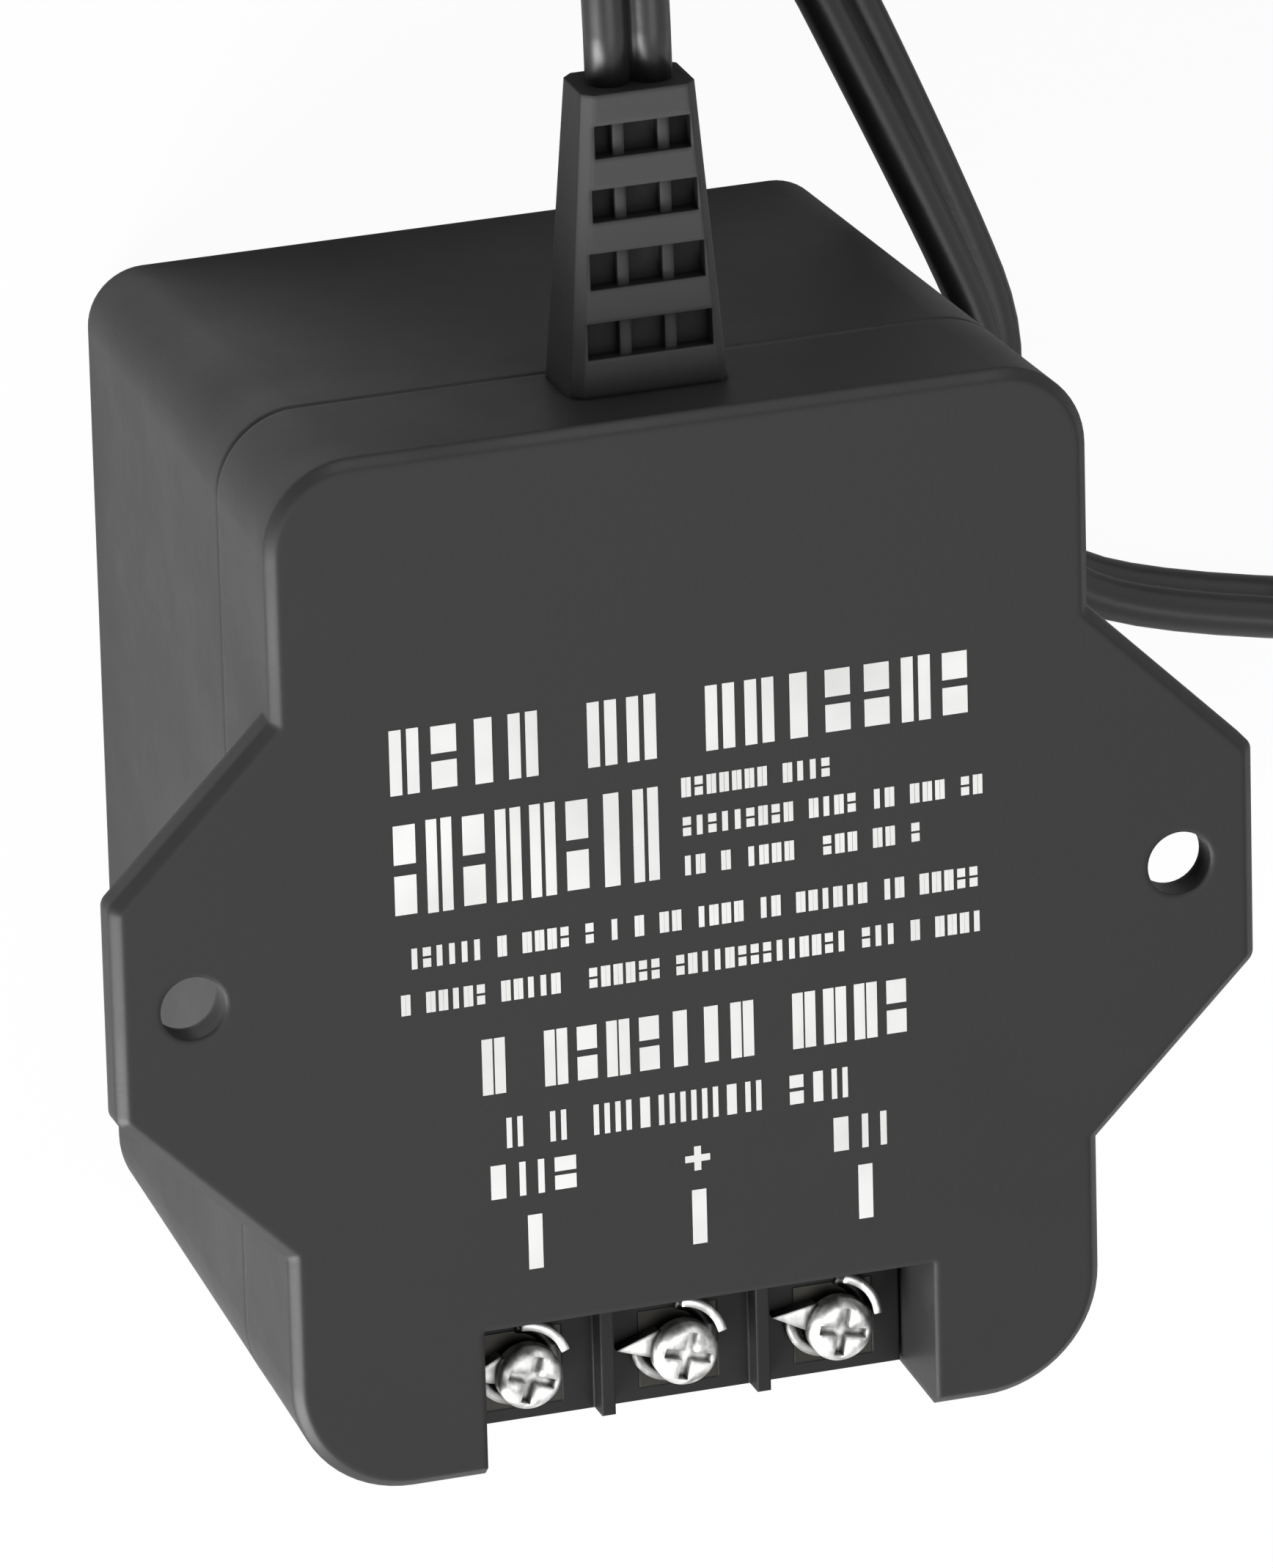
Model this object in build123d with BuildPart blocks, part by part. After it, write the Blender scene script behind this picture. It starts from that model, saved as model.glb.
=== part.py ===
"""Corded power supply module: a moulded two-part case that mounts by two ears on its front plate, with a
three-screw terminal block in a notch of the plate, a ribbed cord boot and a flat two-conductor mains lead.

The unit lies on its back. +Z is the way the front plate faces, +Y points from the terminals to the cord boot,
and the origin is the centre of the back face, on the surface that the unit lies on. Millimetres.
"""
from build123d import *
from math import pi, radians, tan
import os

# Case
plate_width = 65.6
plate_height = 84.6
case_depth = 55.5
cover_depth = 14.5
draft_angle = 2.6
wall = 2.4
plate_thickness = 2.8
back_thickness = 2.6
top_corner_radius = 7.0
bottom_corner_radius = 9.5
front_edge_chamfer = 0.8
back_edge_chamfer = 1.2
seam_chamfer = 0.3
lip_height = 2.5
lip_thickness = 1.2
lip_clearance = 0.15

# Mounting ears
ear_reach = 13.1
ear_outer_height = 17.6
ear_corner_radius = 1.2
mounting_hole_outside = 6.9
mounting_hole_radius = 2.6

# Terminal notch and block
notch_center_x = 0.85
notch_end_trim = 0.75
notch_height = 12.2
notch_wall = 1.8
terminal_face_depth = 8.4
terminal_pitch_share = 0.1936
terminal_count = 3
block_clearance = 0.15
block_inner_height = 7.0
barrier_width = 1.1
barrier_height = 1.9
contact_share = 0.504
terminal_plate_thickness = 0.9
clamp_share = 0.614
clamp_thickness = 0.9
clamp_arm_height = 1.5
clamp_turns = (-38.0, -30.0, -24.0)
screw_head_radius = 2.6
screw_head_height = 1.7
screw_head_chamfer = 0.6
screw_shank_radius = 1.45
screw_shank_length = 8.0
screw_slot_width = 0.8
screw_slot_depth = 0.8
screw_row_from_edge = 4.9

# Transformer
core_stack = 22.0
core_back_gap = 10.6
core_side_clearance = 1.7
core_top_clearance = 7.0
core_board_clearance = 3.0
limb_share = 0.335
bobbin_wall = 1.0
bobbin_clearance = 0.2
winding_thickness = 6.4
winding_clearance = 0.1
post_radius = 2.8

# Rectifier board
board_height = 17.0
board_thickness = 1.6
board_side_clearance = 6.2
board_bottom_clearance = 5.0
board_back_height = 15.0
board_post_radius = 2.2
diode_radius = 1.4
diode_length = 5.2
diode_pitch = 4.6
capacitor_radius = 5.0
capacitor_height = 12.0
capacitor_chamfer = 0.5
fuse_radius = 1.8
fuse_length = 14.0

# Cord boot
boot_center_x = 0.2
boot_front_depth = 6.6
boot_length = 24.0
boot_base_width = 12.6
boot_tip_width = 9.0
boot_thickness = 7.6
boot_tip_thickness = 5.8
boot_corner_chamfer = 0.8
boot_grooves = ((3.2, 6.1), (8.7, 11.6), (14.0, 16.6), (19.0, 21.6))
boot_groove_depth = 1.5
boot_rail_width = 0.95
boot_web_width = 0.9
boot_web_offset = 1.8
boot_web_drop = 0.5
boot_grip_width = 9.6
boot_grip_thickness = 5.6
boot_flange_thickness = 2.0
boot_flange_margin = 1.4

# Cord, put-away coil and tie
cord_width = 6.8
coil_center_x = 16.5
coil_center_y = 103.2
coil_straight = 78.0
coil_lanes = 2
coil_layers = 3
coil_middle_radius = 20.4
tie_width = 5.0
tie_thickness = 0.5
tie_clearance = 0.25
tie_x = 33.0

# Plug
plug_nose_length = 12.0
plug_nose_width = 8.4
plug_body_length = 20.0
plug_body_width = 24.0
plug_body_thickness = 12.0
plug_corner_radius = 3.0
blade_spacing = 12.7
blade_height = 6.35
blade_thickness = 1.5
blade_length = 17.5
blade_inset = 6.0
blade_hole_radius = 1.6

# Places worked out from the driving dimensions
seam_z = case_depth - cover_depth
inner_front_z = case_depth - plate_thickness
plate_bottom_y = -plate_height / 2
mounting_hole_spacing = plate_width + 2 * mounting_hole_outside
terminal_pitch = plate_width * terminal_pitch_share
notch_width = terminal_count * terminal_pitch - 2 * notch_end_trim
contact_size = terminal_pitch * contact_share
clamp_size = terminal_pitch * clamp_share
notch_top_y = plate_bottom_y + notch_height
terminal_face_z = case_depth - terminal_face_depth
screw_row_y = plate_bottom_y + screw_row_from_edge
terminal_xs = [notch_center_x + (i - (terminal_count - 1) / 2) * terminal_pitch for i in range(terminal_count)]
block_back_z = seam_z - block_inner_height
core_back_z = back_thickness + core_back_gap
core_front_z = core_back_z + core_stack
core_center_z = (core_back_z + core_front_z) / 2
boot_center_z = case_depth - boot_front_depth - boot_thickness / 2
board_back_z = back_thickness + board_back_height
board_front_z = board_back_z + board_thickness
cord_radius = cord_width / 2


def side_inset(height):
    """How far the drafted side stands inside the plate's edge at a height above the back."""
    return (case_depth - height) * tan(radians(draft_angle))


def case_outline(height, inset=0.0):
    """Sketch of the case's section at one height, moved in from the outer face by inset."""
    drop = side_inset(height) + inset
    with BuildSketch(Plane.XY.offset(height)) as outline:
        Rectangle(plate_width - 2 * drop, plate_height - 2 * drop)
        corners = outline.vertices().group_by(Axis.Y)
        fillet(corners[0], bottom_corner_radius - drop)
        corners = outline.vertices().group_by(Axis.Y)
        fillet(corners[-1], top_corner_radius - drop)
    return outline.sketch


def case_block(low, high, inset=0.0, mode=Mode.ADD):
    """Drafted solid between two heights of the case, moved in by inset."""
    return extrude(case_outline(low, inset), amount=high - low, taper=-draft_angle, mode=mode)


inner_drop = side_inset(back_thickness) + wall
board_width = plate_width - 2 * (inner_drop + board_side_clearance)
board_low_y = plate_bottom_y + inner_drop + board_bottom_clearance
board_center_y = board_low_y + board_height / 2
core_width = plate_width - 2 * (inner_drop + core_side_clearance)
core_low_y = board_low_y + board_height + core_board_clearance
core_high_y = plate_height / 2 - inner_drop - core_top_clearance
core_height = core_high_y - core_low_y
core_center_y = (core_high_y + core_low_y) / 2
limb_width = core_width * limb_share
window_width = core_width / 2 - limb_width
window_height = core_height - limb_width
core_post_spots = [
    (sx * (core_width / 2 - limb_width / 4), core_center_y + sy * (core_height / 2 - limb_width / 4))
    for sx in (-1, 1)
    for sy in (-1, 1)
]
board_post_spots = [(sx * (board_width / 2 - board_post_radius), board_center_y) for sx in (-1, 1)]
boot_wall_y = plate_height / 2 - side_inset(boot_center_z)
lip_low_z = seam_z - lip_height
boot_flange_y = plate_height / 2 - side_inset(lip_low_z) - wall - lip_thickness - 2 * lip_clearance

# Front cover: drafted skirt, flat plate with two ears, pocket walls round the terminal notch, locating lip
with BuildPart() as front_cover:
    case_block(seam_z, case_depth)
    chamfer(front_cover.faces().sort_by(Axis.Z)[0].outer_wire().edges(), seam_chamfer)
    with BuildSketch(Plane.XY.offset(inner_front_z)) as ears:
        root_x = plate_width / 2 - plate_thickness
        tip_x = plate_width / 2 + ear_reach
        tip_y = ear_outer_height / 2
        root_y = tip_y + tip_x - root_x
        with BuildLine():
            Polyline((root_x, -root_y), (tip_x, -tip_y), (tip_x, tip_y), (root_x, root_y), close=True)
        make_face()
        fillet(ears.vertices().group_by(Axis.X)[-1], ear_corner_radius)
        mirror(about=Plane.YZ)
    extrude(amount=plate_thickness)
    chamfer(front_cover.faces().sort_by(Axis.Z)[-1].outer_wire().edges(), front_edge_chamfer)
    case_block(seam_z, inner_front_z, wall, Mode.SUBTRACT)
    case_block(lip_low_z, seam_z + lip_thickness, wall + lip_clearance)
    case_block(seam_z, seam_z + lip_thickness, wall / 2)
    case_block(lip_low_z, seam_z + lip_thickness, wall + lip_clearance + lip_thickness, Mode.SUBTRACT)
    with BuildSketch(Plane.XY.offset(seam_z)):
        with Locations((notch_center_x, notch_top_y + notch_wall)):
            Rectangle(
                notch_width + 2 * notch_wall,
                notch_height + notch_wall - wall / 2,
                align=(Align.CENTER, Align.MAX),
            )
    extrude(amount=cover_depth - plate_thickness / 2)
    with BuildSketch(Plane.XY.offset(lip_low_z)):
        with Locations((notch_center_x, notch_top_y)):
            Rectangle(notch_width, notch_height * 2, align=(Align.CENTER, Align.MAX))
    extrude(amount=cover_depth + lip_height, mode=Mode.SUBTRACT)
    with BuildSketch(Plane.XY.offset(lip_low_z)):
        with Locations((notch_center_x, notch_top_y + notch_wall)):
            Rectangle(
                notch_width + 2 * notch_wall,
                notch_height * 2,
                align=(Align.CENTER, Align.MAX),
            )
    extrude(amount=lip_height, mode=Mode.SUBTRACT)
    with BuildSketch(Plane.XY.offset(core_front_z)):
        with Locations(*core_post_spots):
            Circle(post_radius)
    extrude(amount=inner_front_z - core_front_z)
    with Locations((boot_center_x, boot_wall_y, boot_center_z)):
        Box(boot_grip_width, wall * 5, boot_grip_thickness, mode=Mode.SUBTRACT)
    with Locations(Plane.XY.offset(case_depth)):
        with GridLocations(mounting_hole_spacing, 0, 2, 1):
            Hole(mounting_hole_radius, depth=plate_thickness)
front_cover.part.label = "front_cover"

# Rear shell: drafted tub with posts that carry the core and the board
with BuildPart() as rear_shell:
    case_block(0, seam_z)
    chamfer(rear_shell.faces().sort_by(Axis.Z)[0].outer_wire().edges(), back_edge_chamfer)
    chamfer(rear_shell.faces().sort_by(Axis.Z)[-1].outer_wire().edges(), seam_chamfer)
    case_block(back_thickness, seam_z, wall, Mode.SUBTRACT)
    with BuildSketch(Plane.XY.offset(back_thickness)):
        with Locations(*core_post_spots):
            Circle(post_radius)
    extrude(amount=core_back_gap)
    with BuildSketch(Plane.XY.offset(back_thickness)):
        with Locations(*board_post_spots):
            Circle(board_post_radius)
    extrude(amount=board_back_height)
    with Locations((boot_center_x, boot_wall_y, boot_center_z)):
        Box(boot_grip_width, wall * 5, boot_grip_thickness, mode=Mode.SUBTRACT)
rear_shell.part.label = "rear_shell"


def boot_width_at(along):
    """Width of the boot at a distance from the case's wall."""
    return boot_base_width + (boot_tip_width - boot_base_width) * along / boot_length


def boot_thickness_at(along):
    """Thickness of the boot at a distance from the case's wall."""
    return boot_thickness + (boot_tip_thickness - boot_thickness) * along / boot_length


# Cord boot: tapered block with cross grooves in its two broad faces, gripped by the two case halves
with BuildPart() as cord_boot:
    boot_root_y = boot_wall_y - wall
    boot_tip_y = boot_wall_y + boot_length
    half_root = boot_width_at(-wall) / 2
    half_tip = boot_tip_width / 2
    with BuildSketch(Plane.XY.offset(boot_center_z)):
        with BuildLine():
            Polyline(
                (boot_center_x - half_root, boot_root_y),
                (boot_center_x + half_root, boot_root_y),
                (boot_center_x + half_tip, boot_tip_y),
                (boot_center_x - half_tip, boot_tip_y),
                close=True,
            )
        make_face()
    extrude(amount=boot_thickness, both=True)
    root_rise = boot_thickness_at(-wall) / 2
    tip_rise = boot_tip_thickness / 2
    with BuildSketch(Plane.YZ):
        with BuildLine():
            Polyline(
                (boot_root_y, boot_center_z - root_rise),
                (boot_tip_y, boot_center_z - tip_rise),
                (boot_tip_y, boot_center_z + tip_rise),
                (boot_root_y, boot_center_z + root_rise),
                close=True,
            )
        make_face()
    extrude(amount=boot_base_width, both=True, mode=Mode.INTERSECT)
    chamfer(cord_boot.edges().filter_by(lambda edge: abs((edge % 0.5).Y) > 0.9), boot_corner_chamfer)
    case_block(boot_center_z - boot_thickness, case_depth, mode=Mode.SUBTRACT)
    for low, high in boot_grooves:
        middle = (low + high) / 2
        face_z = boot_thickness_at(middle) / 2
        with Locations((boot_center_x, boot_wall_y + middle, boot_center_z)):
            with Locations((0, 0, face_z), (0, 0, -face_z)):
                Box(
                    boot_width_at(middle) - 2 * boot_rail_width,
                    high - low,
                    2 * boot_groove_depth,
                    mode=Mode.SUBTRACT,
                )
            with Locations((-boot_web_offset, 0, 0), (boot_web_offset, 0, 0)):
                Box(boot_web_width, high - low, 2 * (face_z - boot_web_drop))
    with Locations((boot_center_x, boot_flange_y, boot_center_z)):
        Box(
            boot_grip_width,
            boot_wall_y - boot_flange_y,
            boot_grip_thickness,
            align=(Align.CENTER, Align.MIN, Align.CENTER),
        )
        Box(
            boot_grip_width + 2 * boot_flange_margin,
            boot_flange_thickness,
            boot_grip_thickness + 2 * boot_flange_margin,
            align=(Align.CENTER, Align.MAX, Align.CENTER),
        )
cord_boot.part.label = "cord_boot"

# Terminal block: outer step flush with the case's bottom side, inner part behind the wall, low barriers
with BuildPart() as terminal_block:
    block_width = notch_width - 2 * block_clearance
    block_top_y = notch_top_y - block_clearance
    outer_bottom_y = plate_bottom_y + side_inset(seam_z)
    with BuildSketch(Plane.XY.offset(seam_z)):
        with Locations((notch_center_x, block_top_y)):
            Rectangle(block_width, block_top_y - outer_bottom_y, align=(Align.CENTER, Align.MAX))
    extrude(amount=terminal_face_z - seam_z)
    inner_bottom_y = outer_bottom_y + wall + block_clearance + side_inset(block_back_z) - side_inset(seam_z)
    with BuildSketch(Plane.XY.offset(block_back_z)):
        with Locations((notch_center_x, block_top_y)):
            Rectangle(block_width, block_top_y - inner_bottom_y, align=(Align.CENTER, Align.MAX))
    extrude(amount=seam_z - block_back_z)
    with BuildSketch(Plane.XY.offset(terminal_face_z)):
        for i in range(terminal_count - 1):
            with Locations(((terminal_xs[i] + terminal_xs[i + 1]) / 2, block_top_y)):
                Rectangle(barrier_width, block_top_y - outer_bottom_y, align=(Align.CENTER, Align.MAX))
    extrude(amount=barrier_height)
    with Locations(*[(x, screw_row_y, terminal_face_z) for x in terminal_xs]):
        Box(
            contact_size,
            contact_size,
            terminal_plate_thickness * 2,
            mode=Mode.SUBTRACT,
        )
    with Locations(*[(x, screw_row_y, terminal_face_z) for x in terminal_xs]):
        Cylinder(
            screw_shank_radius,
            (screw_shank_length + terminal_plate_thickness) * 2,
            mode=Mode.SUBTRACT,
        )
terminal_block.part.label = "terminal_block"


def make_terminal_plate(index):
    """Flat plated contact that a screw pulls the wire against."""
    with BuildPart() as plate:
        with BuildSketch(Plane.XY.offset(terminal_face_z - terminal_plate_thickness)):
            with Locations((terminal_xs[index], screw_row_y)):
                Rectangle(contact_size, contact_size)
                Circle(screw_shank_radius, mode=Mode.SUBTRACT)
        extrude(amount=terminal_plate_thickness)
    plate.part.label = f"terminal_plate_{index + 1}"
    return plate.part


def make_wire_clamp(index):
    """Square washer with two edges turned up, as it came to rest round its screw."""
    base_plane = Plane.XY.offset(terminal_face_z).move(Location((terminal_xs[index], screw_row_y, 0)))
    base_plane = base_plane.rotated((0, 0, clamp_turns[index]))
    with BuildPart() as clamp:
        with BuildSketch(base_plane):
            Rectangle(clamp_size, clamp_size - 1.6)
            Circle(screw_shank_radius, mode=Mode.SUBTRACT)
        extrude(amount=clamp_thickness)
        with BuildSketch(base_plane):
            with Locations((-clamp_size / 2, 0), (clamp_size / 2, 0)):
                Rectangle(clamp_thickness, clamp_size - 2.2)
        extrude(amount=clamp_thickness + clamp_arm_height)
    clamp.part.label = f"wire_clamp_{index + 1}"
    return clamp.part


def make_terminal_screw(index):
    """Combination-head screw that stands on its clamp, with its shank in the block."""
    head_z = terminal_face_z + clamp_thickness
    with BuildPart() as screw:
        with BuildSketch(Plane.XY.offset(head_z)):
            with Locations((terminal_xs[index], screw_row_y)):
                Circle(screw_head_radius)
        extrude(amount=screw_head_height)
        chamfer(screw.faces().sort_by(Axis.Z)[-1].edges(), screw_head_chamfer)
        with BuildSketch(Plane.XY.offset(head_z + screw_head_height)):
            with Locations(Location((terminal_xs[index], screw_row_y), clamp_turns[index] / 2)):
                Rectangle(screw_head_radius * 1.5, screw_slot_width)
                Rectangle(screw_slot_width, screw_head_radius * 1.5)
        extrude(amount=-screw_slot_depth, mode=Mode.SUBTRACT)
        with BuildSketch(Plane.XY.offset(head_z)):
            with Locations((terminal_xs[index], screw_row_y)):
                Circle(screw_shank_radius)
        extrude(amount=-screw_shank_length)
    screw.part.label = f"terminal_screw_{index + 1}"
    return screw.part


# Transformer core: stacked laminations with two windows beside the middle limb
with BuildPart() as transformer_core:
    with BuildSketch(Plane.XY.offset(core_back_z)):
        with Locations((0, core_center_y)):
            Rectangle(core_width, core_height)
        window_x = (limb_width + window_width) / 2
        with Locations((-window_x, core_center_y), (window_x, core_center_y)):
            Rectangle(window_width, window_height, mode=Mode.SUBTRACT)
    extrude(amount=core_stack)
transformer_core.part.label = "transformer_core"

# Bobbin: square tube on the middle limb with flanges at both ends and one between the windings
with BuildPart() as bobbin:
    tube_inner_x = limb_width + 2 * bobbin_clearance
    tube_inner_z = core_stack + 2 * bobbin_clearance
    tube_x = tube_inner_x + 2 * bobbin_wall
    tube_z = tube_inner_z + 2 * bobbin_wall
    flange_x = limb_width + 2 * (window_width - bobbin_clearance)
    flange_z = tube_z + 2 * winding_thickness + 2 * bobbin_wall
    bobbin_height = window_height - 2 * bobbin_clearance
    with Locations((0, core_center_y, core_center_z)):
        Box(tube_x, bobbin_height, tube_z)
    flange_offset = (bobbin_height - bobbin_wall) / 2
    with Locations(*[(0, core_center_y + o, core_center_z) for o in (-flange_offset, 0, flange_offset)]):
        Box(flange_x, bobbin_wall, flange_z)
    with Locations((0, core_center_y, core_center_z)):
        Box(tube_inner_x, bobbin_height * 2, tube_inner_z, mode=Mode.SUBTRACT)
bobbin.part.label = "bobbin"


def make_winding(name, side):
    """Ring of enamelled wire in one half of the bobbin, side -1 or 1 along Y."""
    room = (bobbin_height - 3 * bobbin_wall) / 2
    middle = core_center_y + side * (room + bobbin_wall) / 2
    length = room - 2 * winding_clearance
    with BuildPart() as winding:
        with Locations((0, middle, core_center_z)):
            Box(
                flange_x - 2 * winding_clearance,
                length,
                flange_z - 2 * bobbin_wall,
            )
            Box(
                tube_x + 2 * winding_clearance,
                length * 2,
                tube_z + 2 * winding_clearance,
                mode=Mode.SUBTRACT,
            )
    winding.part.label = name
    return winding.part


# Rectifier board on its two posts, drilled for nothing that shows
with BuildPart() as circuit_board:
    with BuildSketch(Plane.XY.offset(board_back_z)):
        with Locations((0, board_center_y)):
            RectangleRounded(board_width, board_height, 1.0)
    extrude(amount=board_thickness)
circuit_board.part.label = "circuit_board"

diode_row_x = -board_width / 2 + 2 * board_post_radius + diode_length
diode_ys = [board_center_y + (i - 1.5) * diode_pitch * 0.85 for i in range(4)]


def make_diode(index):
    """Axial diode that lies on the board."""
    with BuildPart() as diode:
        with Locations((diode_row_x, diode_ys[index], board_front_z + diode_radius)):
            Cylinder(diode_radius, diode_length, rotation=(0, 90, 0))
    diode.part.label = f"rectifier_diode_{index + 1}"
    return diode.part


capacitor_x = board_width / 2 - 2 * board_post_radius - capacitor_radius
fuse_x = (diode_row_x + diode_length / 2 + capacitor_x - capacitor_radius) / 2
with BuildPart() as filter_capacitor:
    with BuildSketch(Plane.XY.offset(board_front_z)):
        with Locations((capacitor_x, board_center_y)):
            Circle(capacitor_radius)
    extrude(amount=capacitor_height)
    chamfer(filter_capacitor.faces().sort_by(Axis.Z)[-1].edges(), capacitor_chamfer)
filter_capacitor.part.label = "filter_capacitor"

with BuildPart() as fuse:
    with Locations((fuse_x, board_center_y, board_front_z + fuse_radius)):
        Cylinder(fuse_radius, fuse_length, rotation=(90, 0, 0))
fuse.part.label = "fuse"

# Cord coil: neat oblong coil of the put-away length, a closed ring with rounded ends
coil_band = coil_lanes * cord_width
coil_outer_radius = coil_middle_radius + coil_band / 2
coil_inner_radius = coil_middle_radius - coil_band / 2
coil_height = coil_layers * cord_width
with BuildPart() as cord_coil:
    with BuildSketch():
        with Locations((coil_center_x, coil_center_y)):
            SlotCenterToCenter(coil_straight, 2 * coil_outer_radius)
            SlotCenterToCenter(coil_straight, 2 * coil_inner_radius, mode=Mode.SUBTRACT)
    extrude(amount=coil_height)
    chamfer(cord_coil.faces().sort_by(Axis.Z)[-1].edges(), cord_radius * 0.5)
    with Locations((tie_x, coil_center_y, 0)):
        Box(
            tie_width + 2 * tie_clearance,
            2 * coil_outer_radius + 2 * tie_thickness,
            2 * (tie_thickness + tie_clearance),
            mode=Mode.SUBTRACT,
        )
cord_coil.part.label = "cord_coil"

# Cord tie: flat band round the middle of the coil
with BuildPart() as cord_tie:
    band_reach = coil_outer_radius + tie_clearance + tie_thickness
    band_top = coil_height + tie_clearance + tie_thickness
    with BuildSketch(Plane.YZ.offset(tie_x - tie_width / 2)):
        with Locations((coil_center_y, band_top / 2)):
            RectangleRounded(2 * band_reach, band_top, 1.2)
            RectangleRounded(2 * (band_reach - tie_thickness), band_top - 2 * tie_thickness, 0.7, mode=Mode.SUBTRACT)
    extrude(amount=tie_width)
cord_tie.part.label = "cord_tie"

# Cord route, chosen by hand: from the boot down onto the coil, and from the coil round the case to the plug
lead_route = [
    (boot_center_x, boot_tip_y, boot_center_z),
    (boot_center_x, 85.5, boot_center_z),
    (-3.0, 105.0, 34.0),
    (-9.0, 124.0, 18.2),
]
tail_route = [
    (25.9, coil_center_y - coil_outer_radius, cord_radius),
    (25.9, 66.1, cord_radius),
    (34.3, 48.1, cord_radius),
    (41.2, 31.8, cord_radius),
    (42.5, 15.0, cord_radius),
    (53.0, 1.4, cord_radius),
    (70.5, -1.9, cord_radius),
]


def corner_radii(route):
    """Arc radius for each corner: as large as the two runs beside it allow."""
    radii = []
    for before, here, after in zip(route, route[1:], route[2:]):
        first = Vector(*here) - Vector(*before)
        second = Vector(*after) - Vector(*here)
        turn = radians(first.get_angle(second))
        radii.append(0.45 * min(first.length, second.length) / tan(turn / 2))
    return radii


def make_cord(name, route):
    """Round tube along straight runs joined by tangent arcs."""
    with BuildPart() as cord:
        with BuildLine() as path:
            FilletPolyline(*route, radius=corner_radii(route))
        start = path.line @ 0
        with BuildSketch(Plane(origin=start, z_dir=path.line % 0)):
            Circle(cord_radius)
        sweep(path=path.line)
    length = sum(edge.length for edge in path.line.edges())
    print(name, "radii", [round(r, 1) for r in corner_radii(route)], "length", round(length, 1))
    print(name, "volume / (section x length)", round(cord.part.volume / (pi * cord_radius**2 * length), 4))
    cord.part.label = name
    return cord.part


cord_tail = make_cord("cord_tail", tail_route)
lead_tube = make_cord("cord_lead", lead_route)
with BuildPart() as cord_lead:
    add(lead_tube)
    split(bisect_by=Plane.XY.offset(coil_height), keep=Keep.TOP)
cord_lead.part.label = "cord_lead"

# Plug: moulded nose and body that lie on the surface, gripped sides, two blades
plug_start = Vector(*tail_route[-1]) - Vector(0, 0, cord_radius)
plug_way = Vector(*tail_route[-1]) - Vector(*tail_route[-2])
plug_plane = Plane(origin=plug_start, x_dir=plug_way.cross(Vector(0, 0, 1)), z_dir=plug_way)


def plug_section(along, width, height, radius):
    """Rounded section of the plug that rests on the surface, at a distance along its axis."""
    with BuildSketch(plug_plane.offset(along)) as section:
        with Locations((0, -height / 2 if plug_plane.y_dir.Z < 0 else height / 2)):
            RectangleRounded(width, height, radius)
    return section.sketch


with BuildPart() as plug_body:
    loft(
        [
            plug_section(0, plug_nose_width, cord_width, cord_radius * 0.9),
            plug_section(plug_nose_length, plug_body_width * 0.7, plug_body_thickness * 0.9, plug_corner_radius),
        ],
        ruled=True,
    )
    loft(
        [
            plug_section(plug_nose_length, plug_body_width * 0.85, plug_body_thickness, plug_corner_radius),
            plug_section(
                plug_nose_length + plug_body_length, plug_body_width, plug_body_thickness, plug_corner_radius
            ),
        ],
        ruled=True,
    )
    blade_height_z = plug_body_thickness / 2 if plug_plane.y_dir.Z > 0 else -plug_body_thickness / 2
    with BuildSketch(plug_plane.offset(plug_nose_length + plug_body_length)):
        with Locations((-blade_spacing / 2, blade_height_z), (blade_spacing / 2, blade_height_z)):
            Rectangle(blade_thickness, blade_height)
    extrude(amount=-blade_inset, mode=Mode.SUBTRACT)
plug_body.part.label = "plug_body"


def make_blade(index):
    """Flat brass blade with a round hole near its tip."""
    side = -1 if index == 0 else 1
    root = plug_nose_length + plug_body_length - blade_inset
    with BuildPart() as blade:
        with BuildSketch(plug_plane.offset(root)):
            with Locations((side * blade_spacing / 2, blade_height_z)):
                Rectangle(blade_thickness, blade_height)
        extrude(amount=blade_inset + blade_length)
        tip = blade.faces().sort_by(Axis((0, 0, 0), tuple(plug_way)))[-1]
        chamfer(tip.edges().sort_by(SortBy.LENGTH)[-2:], blade_thickness * 0.35)
        hole_plane = Plane(
            origin=plug_plane.from_local_coords(
                Vector(
                    side * blade_spacing / 2,
                    blade_height_z,
                    root + blade_inset + blade_length - 2.6 * blade_hole_radius,
                )
            ),
            z_dir=plug_plane.x_dir,
        )
        with BuildSketch(hole_plane):
            Circle(blade_hole_radius)
        extrude(amount=blade_thickness, both=True, mode=Mode.SUBTRACT)
    blade.part.label = f"plug_blade_{index + 1}"
    return blade.part


pieces = [
    front_cover.part,
    rear_shell.part,
    cord_boot.part,
    terminal_block.part,
    *[make_terminal_plate(i) for i in range(terminal_count)],
    *[make_wire_clamp(i) for i in range(terminal_count)],
    *[make_terminal_screw(i) for i in range(terminal_count)],
    transformer_core.part,
    bobbin.part,
    make_winding("primary_winding", 1),
    make_winding("secondary_winding", -1),
    circuit_board.part,
    *[make_diode(i) for i in range(4)],
    filter_capacitor.part,
    fuse.part,
    cord_lead.part,
    cord_coil.part,
    cord_tie.part,
    cord_tail,
    plug_body.part,
    make_blade(0),
    make_blade(1),
]

os.makedirs("parts", exist_ok=True)
for piece in pieces:
    export_step(piece, f"parts/{piece.label}.step")
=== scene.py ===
"""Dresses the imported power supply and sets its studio, lights and camera.

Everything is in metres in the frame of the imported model: the unit lies on its back, +Z is the
way its front plate faces and +Y runs from the screw terminals to the cord boot. Sizes in the
classes are millimetres, as on a drawing, and are turned to metres where a mesh is made.
"""
import logging
import math
from dataclasses import dataclass
from enum import Enum
from typing import Any, Optional, Sequence, Union

import bpy
from mathutils import Matrix, Vector


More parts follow.
